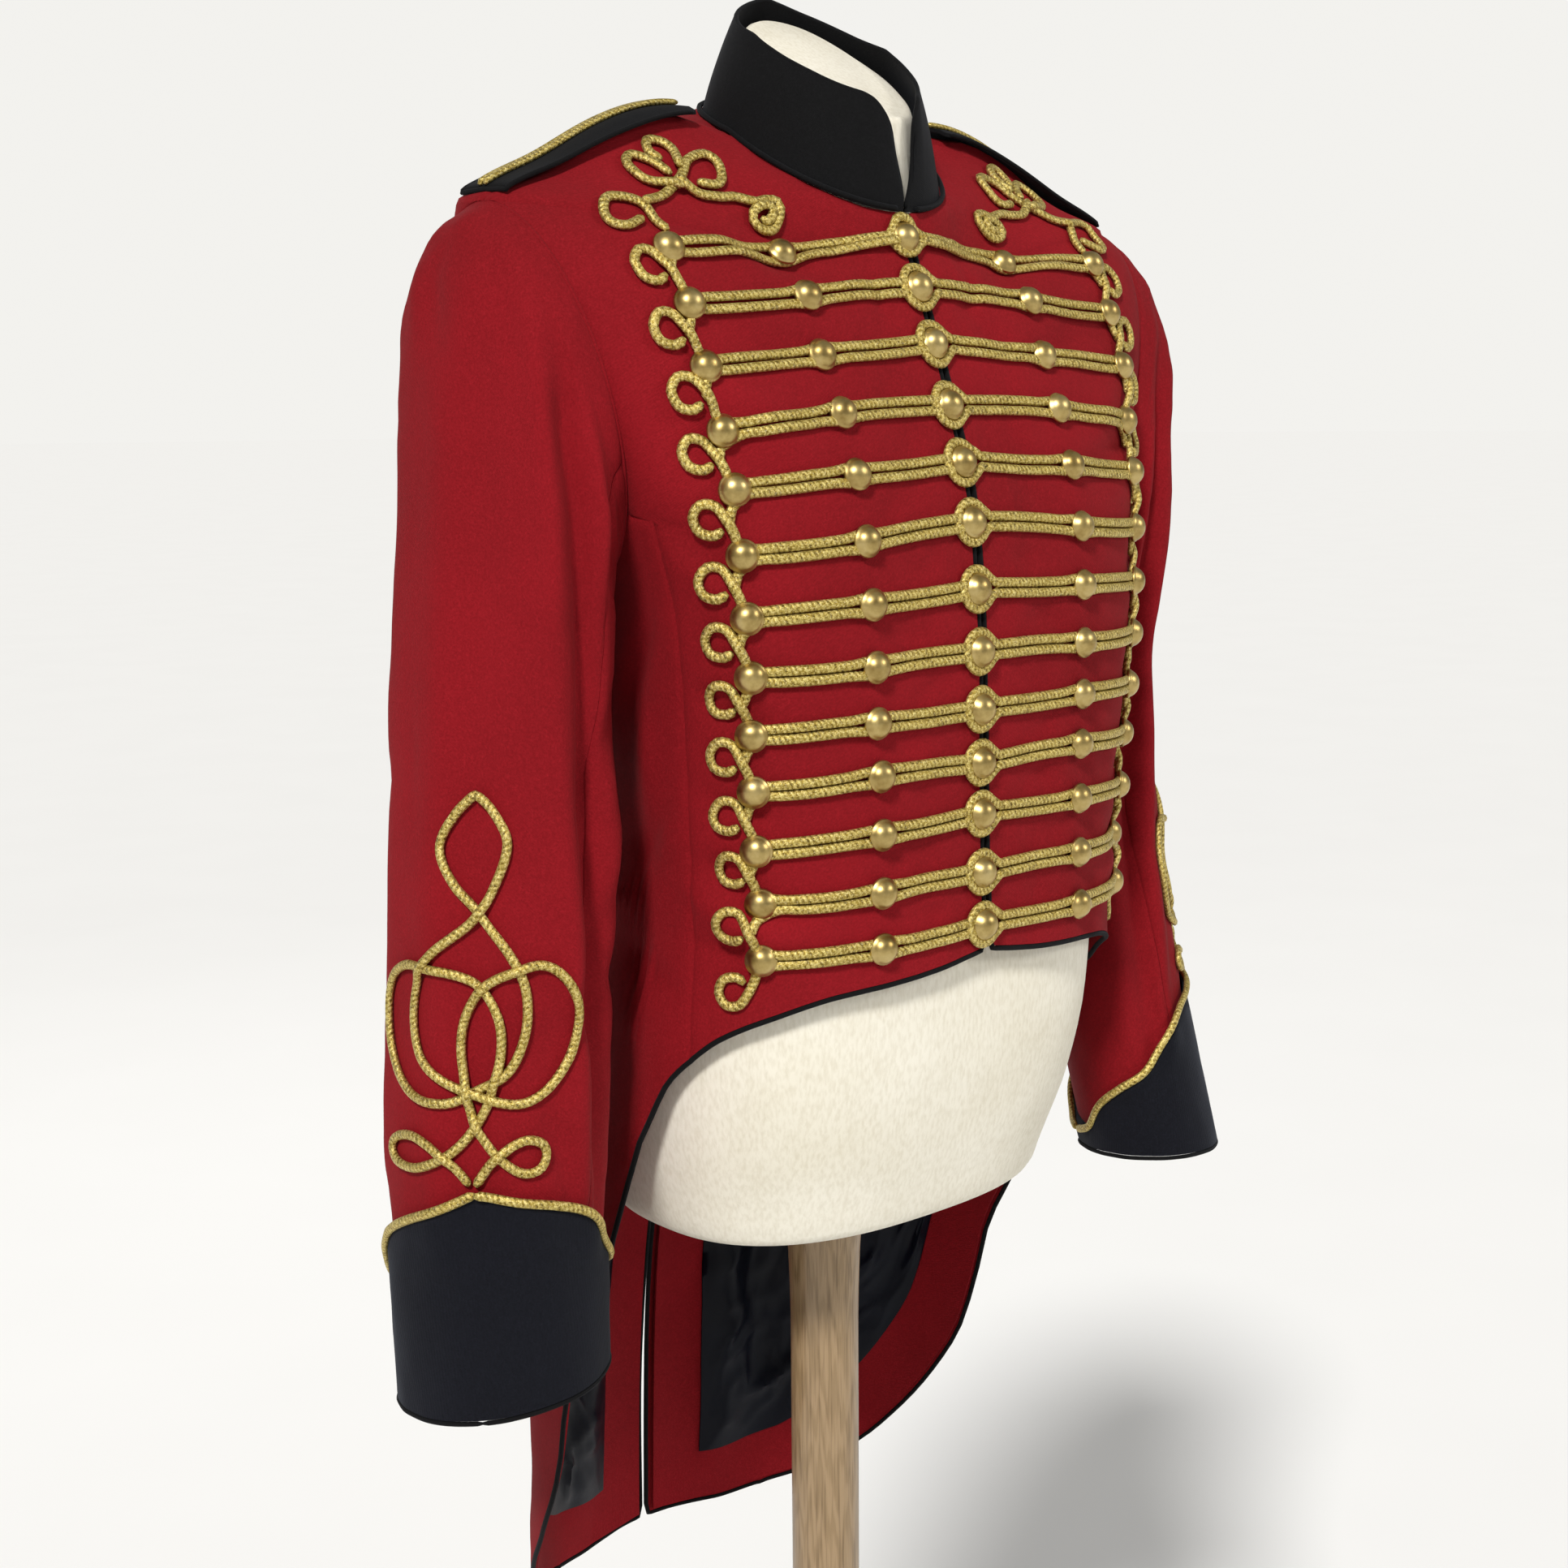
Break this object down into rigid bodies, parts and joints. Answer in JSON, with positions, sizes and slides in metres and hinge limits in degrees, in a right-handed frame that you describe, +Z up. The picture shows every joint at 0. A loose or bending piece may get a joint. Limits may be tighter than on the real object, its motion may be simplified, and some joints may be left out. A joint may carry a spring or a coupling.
{
  "type": "hussar tailcoat on a dress form",
  "caption": "Hussar tailcoat with gold frogging, cord knots, stand collar and pointed cuffs, worn by a limbless dress form on a wooden post and round base.",
  "frame": {"origin": "centre of the stand's base, on the floor", "axes": "-Y is the way the wearer faces, +X the wearer's left, +Z up"},
  "size_m": [0.5766, 0.3561, 1.5213],
  "materials": {
    "wool_red": "matt wool serge",
    "wool_black": "matt wool",
    "wool_navy": "matt wool",
    "lining_satin": "satin",
    "gold_cord": "metallic twisted cord",
    "gold_frogging": "satin antique",
    "form_cream": "matt stretched jersey",
    "wood_ash": "satin varnish"
  },
  "bodies": {
    "root": {"form_torso": "form_cream", "form_post": "wood_ash", "form_base": "wood_ash", "front_right": "wool_red", "side_right": "wool_red", "back_right": "wool_red", "tail_facing_right": "wool_red", "top_sleeve_right": "wool_red", "under_sleeve_right": "wool_red", "tail_lining_right": "lining_satin", "cuff_right": "wool_navy", "edge_piping_right": "wool_black", "strap_right": "wool_black", "strap_cord_right": "gold_cord", "ornament_right": "gold_cord", "sleeve_knot_right": "gold_cord", "frog_right_01": "gold_frogging", "frog_right_02": "gold_frogging", "frog_right_03": "gold_frogging", "frog_right_04": "gold_frogging", "frog_right_05": "gold_frogging", "frog_right_06": "gold_frogging", "frog_right_07": "gold_frogging", "frog_right_08": "gold_frogging", "frog_right_09": "gold_frogging", "frog_right_10": "gold_frogging", "frog_right_11": "gold_frogging", "frog_right_12": "gold_frogging", "frog_right_13": "gold_frogging", "front_left": "wool_red", "side_left": "wool_red", "back_left": "wool_red", "tail_facing_left": "wool_red", "top_sleeve_left": "wool_red", "under_sleeve_left": "wool_red", "tail_lining_left": "lining_satin", "cuff_left": "wool_navy", "edge_piping_left": "wool_black", "strap_left": "wool_black", "strap_cord_left": "gold_cord", "ornament_left": "gold_cord", "sleeve_knot_left": "gold_cord", "frog_left_01": "gold_frogging", "frog_left_02": "gold_frogging", "frog_left_03": "gold_frogging", "frog_left_04": "gold_frogging", "frog_left_05": "gold_frogging", "frog_left_06": "gold_frogging", "frog_left_07": "gold_frogging", "frog_left_08": "gold_frogging", "frog_left_09": "gold_frogging", "frog_left_10": "gold_frogging", "frog_left_11": "gold_frogging", "frog_left_12": "gold_frogging", "frog_left_13": "gold_frogging", "collar": "wool_black", "collar_piping": "wool_black"}
  },
  "joints": []
}
